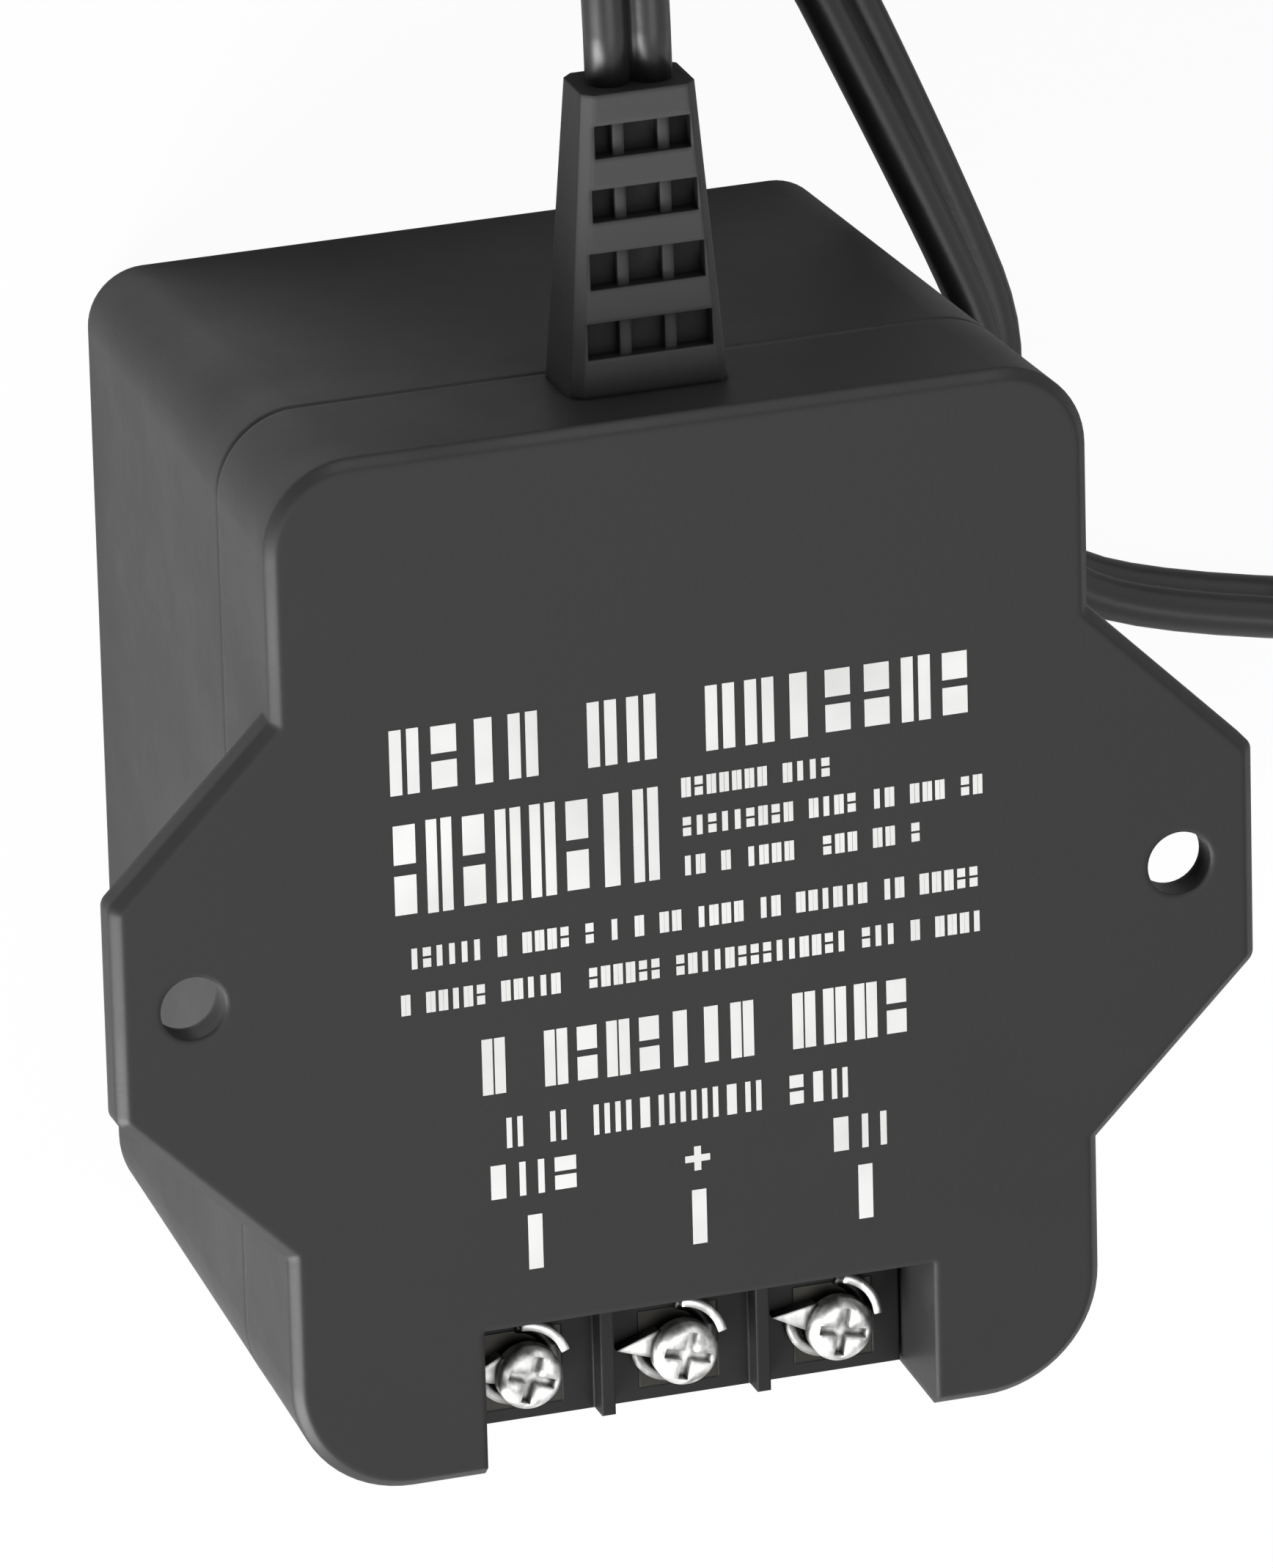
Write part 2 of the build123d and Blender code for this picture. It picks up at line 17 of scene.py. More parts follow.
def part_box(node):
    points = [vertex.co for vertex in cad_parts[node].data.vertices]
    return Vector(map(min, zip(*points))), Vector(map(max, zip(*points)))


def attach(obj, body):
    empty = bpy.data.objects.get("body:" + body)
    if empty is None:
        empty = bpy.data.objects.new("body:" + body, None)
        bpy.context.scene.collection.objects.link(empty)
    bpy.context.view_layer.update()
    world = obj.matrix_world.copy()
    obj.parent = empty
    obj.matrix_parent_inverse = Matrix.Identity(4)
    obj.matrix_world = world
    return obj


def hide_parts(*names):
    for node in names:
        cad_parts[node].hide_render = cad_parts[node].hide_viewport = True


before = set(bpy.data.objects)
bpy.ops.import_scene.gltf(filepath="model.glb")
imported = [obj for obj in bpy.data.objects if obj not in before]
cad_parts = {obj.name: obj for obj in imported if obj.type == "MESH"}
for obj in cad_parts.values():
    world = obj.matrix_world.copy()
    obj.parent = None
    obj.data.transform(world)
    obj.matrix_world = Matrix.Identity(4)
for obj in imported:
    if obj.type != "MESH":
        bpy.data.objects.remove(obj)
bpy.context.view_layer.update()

LOG = logging.getLogger("power_supply")
MM = 0.001
WHITE = (1.0, 1.0, 1.0, 1.0)
# Radians that Blender's wave texture turns through per unit of its scale
WAVE_RADIANS = 20.0

Node = bpy.types.Node
Socket = bpy.types.NodeSocket
Tree = bpy.types.NodeTree
Piece = bpy.types.Object
SocketValue = Union[float, bool, Sequence[float], Socket]
Inputs = dict[Union[str, int], SocketValue]
Point = tuple[float, float, float]
Extras = tuple[tuple[str, float], ...]


# Objects


def put_in_scene(name: str, data: bpy.types.ID) -> Piece:
    """Puts a mesh, a curve, a camera or a lamp into the scene as a new object."""
    made = bpy.data.objects.new(name, data)
    bpy.context.scene.collection.objects.link(made)
    return made


def mesh_piece(
    name: str, vertices: Sequence[Sequence[float]], faces: Sequence[tuple[int, ...]]
) -> Piece:
    """Makes a mesh of corners, in metres, and of faces, and puts it into the scene."""
    mesh = bpy.data.meshes.new(name)
    mesh.from_pydata([tuple(v) for v in vertices], [], faces)
    return put_in_scene(name, mesh)


# Nodes


def linear(colour: str) -> tuple[float, float, float, float]:
    """Turns an sRGB hex colour to the linear values that shaders take, by the sRGB curve.

    Args:
        colour: Six hex digits after a hash, such as "#2b2b2c".

    Returns:
        Linear red, green and blue, and a full alpha.
    """
    parts = [int(colour[i : i + 2], 16) / 255 for i in (1, 3, 5)]
    red, green, blue = [c / 12.92 if c <= 0.04045 else ((c + 0.055) / 1.055) ** 2.4 for c in parts]
    return (red, green, blue, 1.0)


def per_size(size_mm: float) -> float:
    """Texture scale that gives features of a real size in millimetres."""
    return 1.0 / (size_mm * MM)


def add_node(tree: Tree, kind: str, inputs: Optional[Inputs] = None, **settings: Any) -> Node:
    """Adds a node with its settings, its values and the links into it.

    Args:
        tree: Shader or geometry tree that gets the node.
        kind: Blender's type name of the node.
        inputs: Socket name or index to a value, or to an output socket that is linked to it.
        **settings: Attributes of the node itself.

    Returns:
        The new node.
    """
    made = tree.nodes.new(kind)
    for name, value in settings.items():
        setattr(made, name, value)
    for name, value in (inputs or {}).items():
        if isinstance(value, Socket):
            tree.links.new(value, made.inputs[name])
        else:
            made.inputs[name].default_value = value
    return made


def emptied_tree(owner: Union[bpy.types.Material, bpy.types.World]) -> Tree:
    """The shader tree of a material or a world, with no node in it."""
    owner.use_nodes = True
    owner.node_tree.nodes.clear()
    return owner.node_tree


def maths(tree: Tree, operation: str, *terms: SocketValue) -> Socket:
    """One sum on sockets or numbers, by Blender's name of the operation."""
    return add_node(tree, "ShaderNodeMath", dict(enumerate(terms)), operation=operation).outputs[0]


def vector(tree: Tree, x: SocketValue, y: SocketValue, z: SocketValue) -> Socket:
    """A vector from three sockets or numbers."""
    return add_node(tree, "ShaderNodeCombineXYZ", {"X": x, "Y": y, "Z": z}).outputs["Vector"]


def remap(
    tree: Tree, value: Socket, given: tuple[float, float], wanted: tuple[float, float]
) -> Socket:
    """Carries a value from its own span of numbers to another, and holds it inside that one."""
    inputs: Inputs = {"Value": value, "From Min": given[0], "From Max": given[1]}
    inputs.update({"To Min": wanted[0], "To Max": wanted[1]})
    return add_node(tree, "ShaderNodeMapRange", inputs).outputs["Result"]


def noise(
    tree: Tree, where: Socket, size_mm: float, detail: float, roughness: float = 0.5
) -> Socket:
    """Clouds from 0 to 1 of a real size, with finer layers on them."""
    inputs: Inputs = {"Vector": where, "Scale": per_size(size_mm)}
    inputs.update({"Detail": detail, "Roughness": roughness})
    return add_node(tree, "ShaderNodeTexNoise", inputs).outputs["Fac"]


def facing(tree: Tree) -> Socket:
    """The way that the face itself looks, without bump or rounding."""
    return add_node(tree, "ShaderNodeNewGeometry").outputs["Normal"]


def typed(sockets: Sequence[Socket], name: str, kind: str) -> Socket:
    """The socket of one type, where a node has several of the same name."""
    return next(s for s in sockets if s.name == name and s.type == kind)


# Geometry trees


def open_tree(name: str, **inputs: Sequence[str]) -> tuple[Tree, Any]:
    """Starts a geometry tree with one geometry output.

    Args:
        name: Name of the tree.
        **inputs: Names of its inputs, under the kind of their sockets.

    Returns:
        The tree, and its inputs as sockets by name.
    """
    tree = bpy.data.node_groups.new(name, "GeometryNodeTree")
    face = tree.interface
    face.new_socket("Geometry", in_out="OUTPUT", socket_type="NodeSocketGeometry")
    for kind, names in inputs.items():
        for title in names:
            face.new_socket(title, in_out="INPUT", socket_type=f"NodeSocket{kind}")
    return tree, add_node(tree, "NodeGroupInput").outputs


def join(tree: Tree, shapes: Sequence[Socket]) -> Socket:
    """Several shapes as one."""
    joined = add_node(tree, "GeometryNodeJoinGeometry")
    for shape in shapes:
        tree.links.new(shape, joined.inputs["Geometry"])
    return joined.outputs["Geometry"]


def moved(tree: Tree, shape: Socket, **changes: SocketValue) -> Socket:
    """A shape with a new Translation, Rotation or Scale."""
    inputs: Inputs = {"Geometry": shape, **changes}
    return add_node(tree, "GeometryNodeTransform", inputs).outputs["Geometry"]


def close_tree(tree: Tree, shape: Socket, material: Socket) -> None:
    """Ends a geometry tree with its result as real meshes of one material."""
    real = add_node(tree, "GeometryNodeRealizeInstances", {"Geometry": shape}).outputs["Geometry"]
    dressed = add_node(tree, "GeometryNodeSetMaterial", {"Geometry": real, "Material": material})
    add_node(tree, "NodeGroupOutput", {"Geometry": dressed.outputs["Geometry"]})


def run_tree(tree: Tree, name: str, values: dict[str, Any]) -> Piece:
    """Runs a geometry tree once and keeps its result as a plain mesh with no modifier.

    Args:
        tree: Tree to run.
        name: Name of the new piece.
        values: Value of each named input.

    Returns:
        The piece.
    """
    holder = put_in_scene("tree_holder", bpy.data.meshes.new("tree_holder"))
    modifier = holder.modifiers.new("tree", "NODES")
    modifier.node_group = tree
    for item in tree.interface.items_tree:
        if item.in_out == "INPUT" and item.name in values:
            modifier[item.identifier] = values[item.name]
    bpy.context.view_layer.update()
    evaluated = holder.evaluated_get(bpy.context.evaluated_depsgraph_get())
    mesh = bpy.data.meshes.new_from_object(evaluated)
    bpy.data.objects.remove(holder)
    mesh.name = name
    return put_in_scene(name, mesh)


# Finishes

# Where the clouds of a finish start to turn its colour and where they have turned it
DRIFT_SPAN = (0.3, 0.7)
# How far roughness drifts to either side
ROUGHNESS_DRIFT = 0.12
# Cosine between rounded and flat normals where the lightened edge, of wear and painted highlight,
# starts and where it is full
WEAR_AND_HIGHLIGHT_SPAN = (0.995, 0.93)
# From here up a finish is a metal, and takes its gloss from its colour
METAL_FROM = 0.5
SHADER_SAMPLES = 6


@dataclass(frozen=True)
class Finish:
    """A surface finish: what the part is made of and how that surface was made.

    The base class is a moulded plastic with a fine even grain and a faint drift of shade. The
    index of refraction and the specular level count only where the finish isn't a metal. An
    edge radius or a painted-shade reach of 0 and no wear-and-highlight colour leave that effect
    out. The darkening in grooves and corners is painted shade, and the lightened edges are
    handling wear and a painted highlight. The extras are what only this finish has on its shader,
    by its sockets.
    """

    name: str
    colour: str
    drift_colour: str
    roughness: float
    ior: float = 1.5
    metallic: float = 0.0
    grain_mm: float = 0.5
    grain_height_mm: float = 0.012
    edge_mm: float = 0.0
    specular: float = 0.5
    # Reach and strength of the painted shade darkened into grooves and corners
    painted_shade_reach_mm: float = 0.0
    painted_shade_depth: float = 1.6
    wear_and_highlight_colour: str = ""
    extras: Extras = ()

    def colour_share(self, tree: Tree, where: Socket) -> Socket:
        """How far the colour goes to the drift colour, from 0 to 1, in slow clouds."""
        return noise(tree, where, size_mm=14.0, detail=3.0, roughness=0.6)

    def relief(self, tree: Tree, where: Socket) -> Socket:
        """Height of the surface's grain, from 0 to 1."""
        return noise(tree, where, size_mm=self.grain_mm, detail=2.0, roughness=0.55)

    def paint_recess_shade(self, tree: Tree, paint: Socket) -> Socket:
        """Darkens the colour in grooves and corners by ambient occlusion: painted shade."""
        reach = {"Distance": self.painted_shade_reach_mm * MM}
        shade = add_node(tree, "ShaderNodeAmbientOcclusion", reach, samples=SHADER_SAMPLES)
        deep = maths(tree, "POWER", shade.outputs["AO"], self.painted_shade_depth)
        toned = add_node(tree, "ShaderNodeVectorMath", {0: paint, "Scale": deep}, operation="SCALE")
        return toned.outputs["Vector"]

    def wear_and_highlight_edges(self, tree: Tree, paint: Socket, rounded: Socket) -> Socket:
        """Lightens the colour near rounded edges: handling wear and a painted highlight on the
        edges.

        Args:
            tree: Shader tree that gets the nodes.
            paint: Colour of the open surface.
            rounded: Normal of the rounded edges, which leaves the face's own only near an edge.

        Returns:
            The colour with its edges lightened.
        """
        turned = add_node(
            tree, "ShaderNodeVectorMath", {0: rounded, 1: facing(tree)}, operation="DOT_PRODUCT"
        )
        near_edge = remap(tree, turned.outputs["Value"], WEAR_AND_HIGHLIGHT_SPAN, (0.0, 1.0))
        inputs: Inputs = {"Factor": near_edge, "A": paint, "B": linear(self.wear_and_highlight_colour)}
        return add_node(tree, "ShaderNodeMix", inputs, data_type="RGBA").outputs["Result"]

    def material(self) -> bpy.types.Material:
        """Builds the node material."""
        made = bpy.data.materials.new(self.name)
        tree = emptied_tree(made)
        where = add_node(tree, "ShaderNodeTexCoord").outputs["Object"]
        share = self.colour_share(tree, where)
        ramp = add_node(tree, "ShaderNodeValToRGB", {"Fac": share})
        colours = (self.colour, self.drift_colour)
        for end, position, colour in zip(ramp.color_ramp.elements, DRIFT_SPAN, colours):
            end.position, end.color = position, linear(colour)
        paint = ramp.outputs["Color"]
        low, high = (self.roughness * (1.0 + side * ROUGHNESS_DRIFT) for side in (-1.0, 1.0))
        relief: Inputs = {
            "Height": self.relief(tree, where),
            "Distance": self.grain_height_mm * MM,
            "Strength": 1.0,
        }
        if self.edge_mm > 0:
            radius = {"Radius": self.edge_mm * MM}
            rounding = add_node(tree, "ShaderNodeBevel", radius, samples=SHADER_SAMPLES)
            relief["Normal"] = rounding.outputs["Normal"]
            # Edges lightened: handling wear and a painted highlight
            if self.wear_and_highlight_colour:
                paint = self.wear_and_highlight_edges(tree, paint, rounding.outputs["Normal"])
        # Painted shade: ambient occlusion darkens the colour in grooves and corners
        if self.painted_shade_reach_mm > 0:
            paint = self.paint_recess_shade(tree, paint)
        inputs: Inputs = {
            "Base Color": paint,
            "Metallic": self.metallic,
            "Roughness": remap(tree, share, DRIFT_SPAN, (low, min(1.0, high))),
            "Normal": add_node(tree, "ShaderNodeBump", relief).outputs["Normal"],
            **dict(self.extras),
        }
        if self.metallic < METAL_FROM:
            inputs.update({"IOR": self.ior, "Specular IOR Level": self.specular})
        shader = add_node(tree, "ShaderNodeBsdfPrincipled", inputs)
        add_node(tree, "ShaderNodeOutputMaterial", {"Surface": shader.outputs["BSDF"]})
        return made


@dataclass(frozen=True)
class StripedFinish(Finish):
    """A finish with fine parallel ridges across one axis, as of stacked sheets or wound wire."""

    axis: str = "Z"
    spacing_mm: float = 0.5

    def relief(self, tree: Tree, where: Socket) -> Socket:
        """The ridges, as a wave from 0 to 1 that repeats at their spacing."""
        wave = add_node(
            tree,
            "ShaderNodeTexWave",
            {"Vector": where, "Scale": per_size(self.spacing_mm) * math.tau / WAVE_RADIANS},
            wave_type="BANDS",
            bands_direction=self.axis,
        )
        return wave.outputs["Fac"]

    # One colour on the ridges and the other between them
    colour_share = relief


@dataclass(frozen=True)
class ScratchedMetal(Finish):
    """Plated or bare metal with short fine scratches and spots where the plating is dull."""

    spot_mm: float = 14.0
    scratch_angle: float = 0.6
    scratch_squeeze: Point = (1.0, 0.12, 1.0)

    def colour_share(self, tree: Tree, where: Socket) -> Socket:
        """Dull spots of the finish's own size among the bright metal."""
        return noise(tree, where, size_mm=self.spot_mm, detail=2.0)

    def relief(self, tree: Tree, where: Socket) -> Socket:
        """Scratches that run one way, stretched from a fine noise."""
        inputs: Inputs = {"Vector": where, "Rotation": (0.0, 0.0, self.scratch_angle)}
        inputs["Scale"] = self.scratch_squeeze
        turned = add_node(tree, "ShaderNodeMapping", inputs).outputs["Vector"]
        return noise(tree, turned, size_mm=self.grain_mm, detail=4.0)


@dataclass(frozen=True)
class SoftPlastic(Finish):
    """Plasticised PVC: supple and a little waxy, with a soft sheen at its turned-away edges."""

    extras: Extras = (("Sheen Weight", 0.04), ("Sheen Roughness", 0.4))


@dataclass(frozen=True)
class FacingShadedPlastic(SoftPlastic):
    """Soft plastic painted lighter on its outer face than on its flanks, which get painted shade.
    """

    # Facing heights and the shares of the lighter colour that they give: painted light on outer
    # faces, painted shade on flanks
    outward: tuple[float, float] = (0.4, 0.9)
    painted_light_share: tuple[float, float] = (0.2, 0.62)
    unevenness: float = 0.16

    def colour_share(self, tree: Tree, where: Socket) -> Socket:
        """Little of the lighter drift colour on flanks, more on faces that look outwards, and
        uneven: painted light and shade by facing.
        """
        clouds = super().colour_share(tree, where)
        parts = add_node(tree, "ShaderNodeSeparateXYZ", {"Vector": facing(tree)})
        # Painted light and shade: how far the face looks up along Z sets the share of the lighter
        # colour
        painted_light_share = remap(tree, parts.outputs["Z"], self.outward, self.painted_light_share)
        return maths(tree, "MULTIPLY_ADD", clouds, self.unevenness, painted_light_share)


class Finishes(Enum):
    """Every finish of the CAD nodes, by what it dresses."""

    # Moulded ABS, spark-eroded mould: an even satin grain, grey where it catches the light, with
    # painted shade in its grooves and corners and edges lightened by wear and a painted highlight
    case_plastic = Finish(
        "moulded_abs_satin", "#1f1f1f", "#242424", roughness=0.46, ior=1.52, grain_mm=0.55,
        grain_height_mm=0.014, edge_mm=0.7, specular=0.24, painted_shade_reach_mm=0.7, painted_shade_depth=2.2,
        wear_and_highlight_colour="#2c2c2c",
    )
    # Flexible PVC moulded over the cord: duller than the case, with painted shade in its grooves
    # and on its flanks
    boot_plastic = FacingShadedPlastic(
        "boot_flexible_pvc", "#161616", "#484848", roughness=0.62, ior=1.53, grain_mm=0.8,
        grain_height_mm=0.02, edge_mm=0.6, specular=0.2, painted_shade_reach_mm=2.6, painted_shade_depth=2.2,
    )
    # Phenolic compression moulding: hard and nearly black
    block_plastic = Finish(
        "terminal_phenolic", "#0b0b0b", "#121111", roughness=0.55, ior=1.6, grain_mm=0.3,
        grain_height_mm=0.01, edge_mm=0.25, specular=0.2,
    )
    # Nickel-plated brass contact, given a dark, dull colour
    contact_plate = ScratchedMetal(
        "contact_dull_nickel", "#3c3b38", "#2b2a28", roughness=0.45, metallic=1.0,
        grain_mm=0.25, grain_height_mm=0.006, edge_mm=0.15,
    )
    # Zinc-plated steel screws: bright, with dark spots in the plating and painted shade in their
    # slots and recesses
    plated_steel = ScratchedMetal(
        "zinc_plated_steel", "#fafaf8", "#8f8f8d", roughness=0.36, metallic=1.0,
        grain_height_mm=0.05, edge_mm=0.9, painted_shade_reach_mm=0.6, spot_mm=1.3,
    )
    # Silicon steel laminations stacked along Z, varnished, drawn 1 mm thick so that they show
    core_steel = StripedFinish(
        "silicon_steel_laminations", "#5a5b5d", "#2c2c2e", roughness=0.4, metallic=0.7,
        grain_height_mm=0.05, axis="Z", spacing_mm=1.0,
    )
    # Glass-filled nylon bobbin: pale, slightly fibrous
    bobbin_nylon = Finish(
        "bobbin_filled_nylon", "#d9d4c4", "#cbc5b3", roughness=0.5, ior=1.53, grain_mm=0.6,
        grain_height_mm=0.01, edge_mm=0.2,
    )
    # Enamelled copper wire in turns along Y, 0.8 mm apart: warm copper under a smooth enamel
    winding_copper = StripedFinish(
        "enamelled_copper_wire", "#b4592c", "#5f2613", roughness=0.3, metallic=0.8,
        grain_height_mm=0.15, axis="Y", spacing_mm=0.8,
    )
    # Glass-epoxy board under green solder resist
    board_laminate = Finish(
        "glass_epoxy_board", "#2c5a38", "#356842", roughness=0.38, ior=1.55, grain_mm=0.9,
        edge_mm=0.1,
    )
    # Moulded epoxy of a diode
    diode_epoxy = Finish(
        "diode_moulded_epoxy", "#161617", "#1f1f20", roughness=0.4, ior=1.55, grain_mm=0.3,
        grain_height_mm=0.006, edge_mm=0.1,
    )
    # Shrunk PVC sleeve of a capacitor
    capacitor_sleeve = SoftPlastic(
        "capacitor_pvc_sleeve", "#22304e", "#28375a", roughness=0.3, ior=1.53, grain_mm=1.2,
        grain_height_mm=0.01, edge_mm=0.1,
    )
    # Soda-lime glass of a fuse, drawn as a clear tube
    fuse_glass = Finish(
        "fuse_glass", "#e8ece8", "#dfe5df", roughness=0.05, ior=1.52, grain_mm=2.0,
        grain_height_mm=0.002, extras=(("Transmission Weight", 0.85),),
    )
    # PVC insulation of the flat lead, extruded: a waxy gloss
    cord_pvc = SoftPlastic(
        "cord_extruded_pvc", "#111111", "#181818", roughness=0.36, ior=1.53, grain_mm=1.4,
        grain_height_mm=0.02, specular=0.4,
    )
    # Moulded nylon tie
    tie_plastic = Finish(
        "tie_moulded_nylon", "#161616", "#1d1d1d", roughness=0.35, ior=1.53,
        grain_height_mm=0.008, edge_mm=0.1,
    )
    # Rolled brass of the plug's blades
    blade_brass = ScratchedMetal(
        "blade_rolled_brass", "#c9a55a", "#b08d45", roughness=0.26, metallic=1.0,
        grain_mm=0.3, grain_height_mm=0.008, edge_mm=0.15,
    )


# The clamps have the screws' plating, with strong painted shade darkening all but their raised
# edges
CLAMP_PLATING = ScratchedMetal(
    "zinc_plated_clamp", "#fbfbf9", "#b4b4b2", roughness=0.34, metallic=1.0,
    grain_height_mm=0.04, edge_mm=0.5, painted_shade_reach_mm=3.0, painted_shade_depth=3.4, spot_mm=1.6,
)

# Pad-printed white ink: matt, thin, with a slightly uneven film
PRINT_INK = Finish(
    "pad_print_ink_white", "#e4e4e2", "#cfcfcd", roughness=0.6, ior=1.48, grain_mm=0.4,
    grain_height_mm=0.004,
)

# The CAD nodes of each finish, without their numbers
DRESSED: dict[Finishes, tuple[str, ...]] = {
    Finishes.case_plastic: ("front_cover", "rear_shell"),
    Finishes.boot_plastic: ("cord_boot",),
    Finishes.block_plastic: ("terminal_block",),
    Finishes.contact_plate: ("terminal_plate",),
    Finishes.plated_steel: ("wire_clamp", "terminal_screw"),
    Finishes.core_steel: ("transformer_core",),
    Finishes.bobbin_nylon: ("bobbin",),
    Finishes.winding_copper: ("primary_winding", "secondary_winding"),
    Finishes.board_laminate: ("circuit_board",),
    Finishes.diode_epoxy: ("rectifier_diode",),
    Finishes.capacitor_sleeve: ("filter_capacitor",),
    Finishes.fuse_glass: ("fuse",),
    Finishes.cord_pvc: ("cord_lead", "cord_coil", "cord_tail", "plug_body"),
    Finishes.tie_plastic: ("cord_tie",),
    Finishes.blade_brass: ("plug_blade",),
}


class PaintShop:
    """Builds each material once and puts it on the CAD nodes and on new pieces."""

    def __init__(self) -> None:
        """Starts with no material built."""
        self.built: dict[str, bpy.types.Material] = {}

    def material(self, finish: Finish) -> bpy.types.Material:
        """The material of a finish, built the first time that it is asked for."""
        if finish.name not in self.built:
            self.built[finish.name] = finish.material()
        return self.built[finish.name]

    def dress(self, piece: Piece, finish: Finish) -> None:
        """Gives a piece one material in every slot.

        Args:
            piece: Mesh object to dress.
            finish: Finish that it gets.
        """
        made = self.material(finish)
        if not piece.material_slots:
            piece.data.materials.append(made)
        for slot in piece.material_slots:
            slot.material = made

    def dress_nodes(self) -> None:
        """Dresses every CAD node by its name, without its number."""
        finishes = {stem: finish.value for finish, stems in DRESSED.items() for stem in stems}
        for name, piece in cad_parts.items():
            self.dress(piece, finishes[name.rstrip("0123456789").rstrip("_")])
            LOG.info("dressed %s", name)


# Cord


@dataclass(frozen=True)
class RoutePoint:
    """One control point of the cord, in millimetres, and how the flat cord is rolled there.

    The roll is the angle in degrees from standing on its edge; at 90 it lies flat.
    """

    x: float
    y: float
    z: float
    roll: float = 0.0


@dataclass
class FlatCord:
    """Flat two-core lead: out of the boot, into its tied coil, past the case to the plug."""

    shop: PaintShop
    width: float = 6.8
    lobe_radius: float = 1.74
    lobe_offset: float = 1.66
    exit_point: Point = (0.2, 65.8, 45.1)
    coil_center: tuple[float, float] = (16.5, 103.2)
    coil_half_run: float = 39.0
    straight_half: float = 13.0
    # Radii of the inner and the outer lane round the coil's ends
    lanes: tuple[float, float] = (17.0, 23.8)
    # Heights of the cord's middle on each layer, from the top one down
    layers: Point = (17.0, 10.2, 3.4)
    length: float = 1800.0
    points_round_end: int = 6
    # How far control points lie outside an arc, for the spline to run on it
    arc_swell: float = 1.033
    section_points: int = 14
    # Share of the width below which the cord's middle rests on the floor
    floor_reach: float = 0.55
    line_steps: int = 5

    def lead(self) -> list[RoutePoint]:
        """From the boot, bending down under its own weight, onto the top of the coil's far run."""
        return [
            RoutePoint(0.2, 64.8, 45.1, 90),
            RoutePoint(0.2, 78.0, 44.8, 88),
            RoutePoint(-0.2, 93.0, 40.5, 70),
            RoutePoint(-3.0, 106.0, 31.2, 45),
            RoutePoint(-9.0, 116.5, 22.5, 18),
            RoutePoint(-19.0, 120.2, 17.2, 4),
        ]

    def end_arc(self, side: int, start: float, stop: float, height: float) -> list[RoutePoint]:
        """Half turn round one end of the coil.

        Args:
            side: -1 for the end at low X, 1 for the end at high X.
            start: Radius where the arc begins.
            stop: Radius where it ends.
            height: Height of the cord's middle.

        Returns:
            Control points, a little outside the arc, so that the spline runs on it.
        """
        made = []
        for i in range(self.points_round_end + 1):
            share = i / self.points_round_end
            inside = 0 < i < self.points_round_end
            radius = (start + (stop - start) * share) * (self.arc_swell if inside else 1.0)
            angle = math.pi * share - side * math.pi / 2
            x = self.coil_center[0] + side * self.coil_half_run + radius * math.cos(angle)
            made.append(RoutePoint(x, self.coil_center[1] + radius * math.sin(angle), height))
        return made

    def run(self, side: int, *stations: Point) -> list[RoutePoint]:
        """Points along a long run of the coil.

        Args:
            side: 1 for the far run, -1 for the run beside the case.
            *stations: X from the coil's middle, radius and height of each point.

        Returns:
            The points, in the order given.
        """
        x0, y0 = self.coil_center
        return [RoutePoint(x0 + x, y0 + side * radius, z) for x, radius, z in stations]

    def straight(self, side: int, radius: float, height: float) -> list[RoutePoint]:
        """A long run that keeps its lane and its layer."""
        half = side * self.straight_half
        return self.run(side, (half, radius, height), (-half, radius, height))

    def coil(self) -> list[RoutePoint]:
        """Six turns on three layers, each changing lane or layer where its neighbours leave room.

        Returns:
            The coil's control points.
        """
        near, far = self.lanes
        top, middle, low = self.layers
        arc, run, straight = self.end_arc, self.run, self.straight
        parts = (
            # First turn, inner lane of the top layer, then out to the outer lane
            arc(-1, near, near, top),
            straight(-1, near, top),
            arc(1, near, near, top),
            run(1, (14, near, top), (4, near + 0.6, top), (-12, far - 0.4, top), (-26, far, top)),
            # Second turn, outer lane, then down to the middle layer
            arc(-1, far, far, top),
            straight(-1, far, top),
            arc(1, far, far, top),
            run(1, (34, far, top - 0.5), (14, far, middle + 0.2), (-12, far, middle)),
            # Third turn, outer lane of the middle layer, moving to the inner lane round its end
            arc(-1, far, far, middle),
            straight(-1, far, middle),
            arc(1, far, near, middle),
            straight(1, near, middle),
            # Fourth turn, inner lane, then down to the lowest layer on the run beside the case
            arc(-1, near, near, middle),
            run(-1, (-10, near, middle), (2, near, middle - 0.4), (30, near, low + 0.2)),
            # Fifth turn, inner lane of the lowest layer, then out under the others
            arc(1, near, near, low),
            straight(1, near, low),
            arc(-1, near, near, low),
            run(-1, (-30, near, low), (-18, near + 0.6, low), (-4, far - 0.6, low), (10, far, low)),
            # Sixth turn, outer lane of the lowest layer, up to where the cord leaves the coil
            arc(1, far, far, low),
            straight(1, far, low),
            arc(-1, far, far, low),
        )
        return [point for part in parts for point in part]

    def tail(self) -> list[RoutePoint]:
        """From the coil past the case, under the ear and out to the plug, along the floor.

        Returns:
            Control points, from X, Y and roll of each.
        """
        stations = (
            (-9.0, 78.4, 0), (6.0, 75.2, 10), (19.5, 69.0, 40), (28.3, 61.2, 62),
            (32.8, 51.6, 60), (40.1, 34.8, 50), (44.0, 24.5, 40), (43.2, 14.5, 24),
            (47.2, 4.6, 12), (57.8, 0.3, 10), (70.5, -1.9, 8),
        )
        return [RoutePoint(x, y, self.layers[-1], roll) for x, y, roll in stations]

